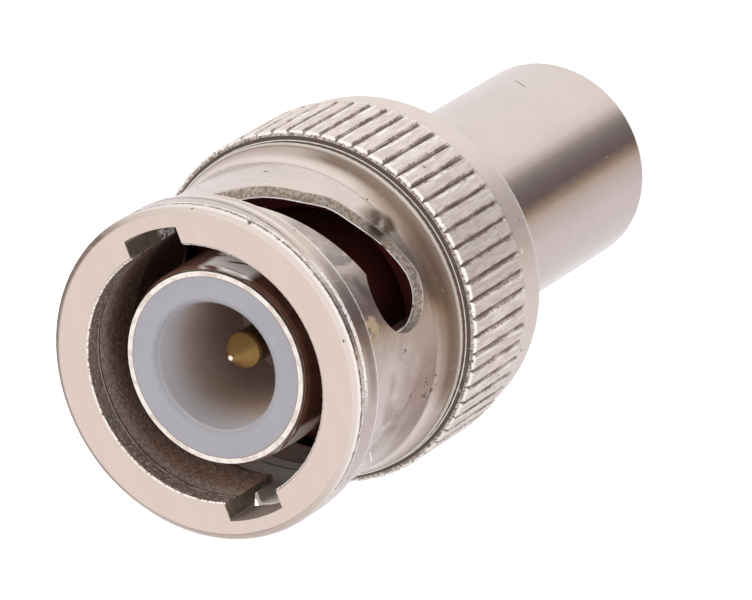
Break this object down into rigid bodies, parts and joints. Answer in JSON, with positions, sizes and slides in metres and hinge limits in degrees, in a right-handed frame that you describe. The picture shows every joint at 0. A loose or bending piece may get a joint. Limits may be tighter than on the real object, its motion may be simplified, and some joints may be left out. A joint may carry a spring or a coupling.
{
  "type": "bnc plug connector",
  "caption": "Cable-end coaxial bayonet plug: turning, spring-loaded nut with cam slots and knurl, plain contact sleeve, insulator, centre pin and crimp ferrule.",
  "frame": {"origin": "on the plug's axis, at the rear end plane of the ferrule that it stands on", "axes": "+Z along the axis towards the mating end; +Y through one keyway of the nut at rest"},
  "size_m": [0.0136, 0.0136, 0.0273],
  "materials": {
    "nut_nickel": "satin nickel plate, warm tone",
    "ring_steel": "plain spring steel",
    "washer_steel": "plain steel",
    "spring_steel": "spring steel",
    "body_nickel": "nickel plate",
    "sleeve_nickel": "nickel plate",
    "gasket_silicone": "red silicone",
    "insulator_front": "pale grey fluoropolymer",
    "insulator_rear": "white fluoropolymer",
    "pin_gold": "gold plate",
    "ferrule_nickel": "satin nickel plate",
    "stem_nickel": "nickel plate"
  },
  "bodies": {
    "plug": {"plug_body": "body_nickel", "outer_contact": "sleeve_nickel", "seal_gasket": "gasket_silicone", "front_insulator": "insulator_front", "rear_insulator": "insulator_rear", "centre_pin": "pin_gold", "crimp_ferrule": "ferrule_nickel", "crimp_stem": "stem_nickel", "wave_washer": "spring_steel"},
    "spring_carriage": {"thrust_washer": "washer_steel"},
    "nut": {"coupling_nut": "nut_nickel", "retaining_ring": "ring_steel"}
  },
  "joints": [
    {"name": "nut_draw", "type": "slide", "parent": "plug", "child": "spring_carriage", "axis": [0, 0, 1], "range_m": [0, 0.0012], "stiffness_N_per_m": 400, "springref_m": -0.002, "deforming": ["wave_washer"]},
    {"name": "nut_turn", "type": "hinge", "parent": "spring_carriage", "child": "nut", "pos_m": [0, 0, 0.0148], "axis": [0, 0, 1], "continuous": true}
  ]
}
